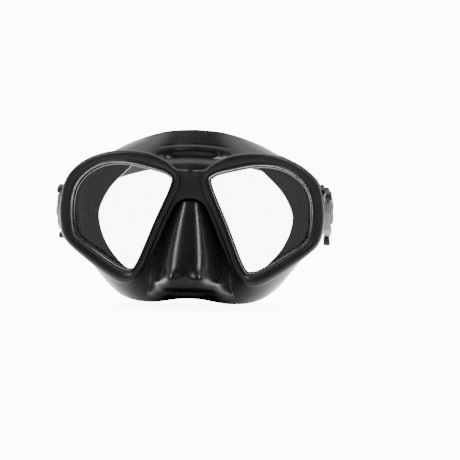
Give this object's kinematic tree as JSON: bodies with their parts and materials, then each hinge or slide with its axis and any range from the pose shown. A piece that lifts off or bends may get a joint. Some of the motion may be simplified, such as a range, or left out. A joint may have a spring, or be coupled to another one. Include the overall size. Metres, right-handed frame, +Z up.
{
  "type": "snorkel mask",
  "caption": "Two-window low-volume snorkel mask with a silicone skirt and nose pocket, and a head strap on swivelling quick-adjust buckles.",
  "frame": {"origin": "middle of the face seal, in the plane of its rearmost edge at the temples, at the windows' mid height", "axes": "+X towards the wearer's left, +Y towards the wearer's face and the back of the head, +Z up"},
  "size_m": [0.1786, 0.2018, 0.1138],
  "materials": {
    "frame_plastic": "satin",
    "clamp_plastic": "matte",
    "silicone": "satin",
    "glass": "polished",
    "buckle_grey": "satin",
    "roller_grey": "satin",
    "tab_black": "satin",
    "steel": "satin"
  },
  "bodies": {
    "mask": {"front_frame": "frame_plastic", "clamp_frame": "clamp_plastic", "skirt": "silicone", "left_lens": "glass", "right_lens": "glass", "left_buckle_base": "buckle_grey", "right_buckle_base": "buckle_grey"},
    "strap_assembly": {"strap": "silicone", "left_buckle_body": "buckle_grey", "left_roller_pin": "steel", "left_strap_keeper": "silicone", "left_upper_spring": "steel", "left_lower_spring": "steel", "right_buckle_body": "buckle_grey", "right_roller_pin": "steel", "right_strap_keeper": "silicone", "right_upper_spring": "steel", "right_lower_spring": "steel"},
    "left_roller": {"left_roller": "roller_grey"},
    "left_upper_tab": {"left_upper_tab": "tab_black"},
    "left_lower_tab": {"left_lower_tab": "tab_black"},
    "right_roller": {"right_roller": "roller_grey"},
    "right_upper_tab": {"right_upper_tab": "tab_black"},
    "right_lower_tab": {"right_lower_tab": "tab_black"}
  },
  "joints": [
    {"name": "strap_swing", "type": "hinge", "parent": "mask", "child": "strap_assembly", "pos_m": [0, -0.013, 0.0013], "axis": [1, 0, 0], "range_deg": [-70, 60]},
    {"name": "left_roller_spin", "type": "hinge", "parent": "strap_assembly", "child": "left_roller", "pos_m": [0.0852, -0.00167, 0.00527], "axis": [0, -0.3305, 0.9438], "continuous": true},
    {"name": "left_upper_press", "type": "slide", "parent": "strap_assembly", "child": "left_upper_tab", "axis": [0, 0.3305, -0.9438], "range_m": [0, 0.0013], "stiffness_N_per_m": 900, "springref_m": -0.0008, "deforming": ["left_upper_spring"]},
    {"name": "left_lower_press", "type": "slide", "parent": "strap_assembly", "child": "left_lower_tab", "axis": [0, -0.3305, 0.9438], "range_m": [0, 0.0013], "stiffness_N_per_m": 900, "springref_m": -0.0008, "deforming": ["left_lower_spring"]},
    {"name": "right_roller_spin", "type": "hinge", "parent": "strap_assembly", "child": "right_roller", "pos_m": [-0.0852, -0.00167, 0.00527], "axis": [0, -0.3305, 0.9438], "continuous": true},
    {"name": "right_upper_press", "type": "slide", "parent": "strap_assembly", "child": "right_upper_tab", "axis": [0, 0.3305, -0.9438], "range_m": [0, 0.0013], "stiffness_N_per_m": 900, "springref_m": -0.0008, "deforming": ["right_upper_spring"]},
    {"name": "right_lower_press", "type": "slide", "parent": "strap_assembly", "child": "right_lower_tab", "axis": [0, -0.3305, 0.9438], "range_m": [0, 0.0013], "stiffness_N_per_m": 900, "springref_m": -0.0008, "deforming": ["right_lower_spring"]}
  ],
  "couplings": [
    {"joint": "left_lower_press", "follows": "left_upper_press", "ratio": 1},
    {"joint": "right_lower_press", "follows": "right_upper_press", "ratio": 1}
  ]
}
